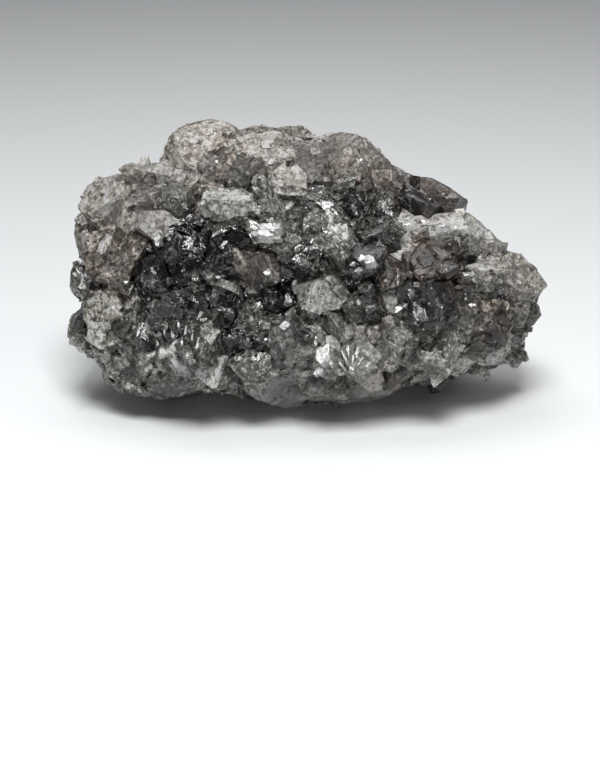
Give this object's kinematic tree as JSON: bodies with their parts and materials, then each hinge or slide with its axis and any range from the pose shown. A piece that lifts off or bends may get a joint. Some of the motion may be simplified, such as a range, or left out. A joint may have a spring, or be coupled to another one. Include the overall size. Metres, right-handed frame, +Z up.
{
  "type": "rock salt specimen",
  "caption": "Hand-sized lump of smoky rock salt: blocky halite crystals grown into one another, with a knobbly crown, a dark hollow in front and a flat foot.",
  "frame": {"origin": "middle of the box around the mass, at the height of the ground-flat foot it rests on", "axes": "+X along the length, towards the tapering end; +Y to the back; +Z up"},
  "size_m": [0.1002, 0.0568, 0.0595],
  "materials": {
    "smoky_halite": "clear to smoky grey halite with glassy cleavage faces, pale frosted rims and brown-pink iron stains"
  },
  "bodies": {
    "root": {"halite_crystal_mass": "smoky_halite"}
  },
  "joints": []
}
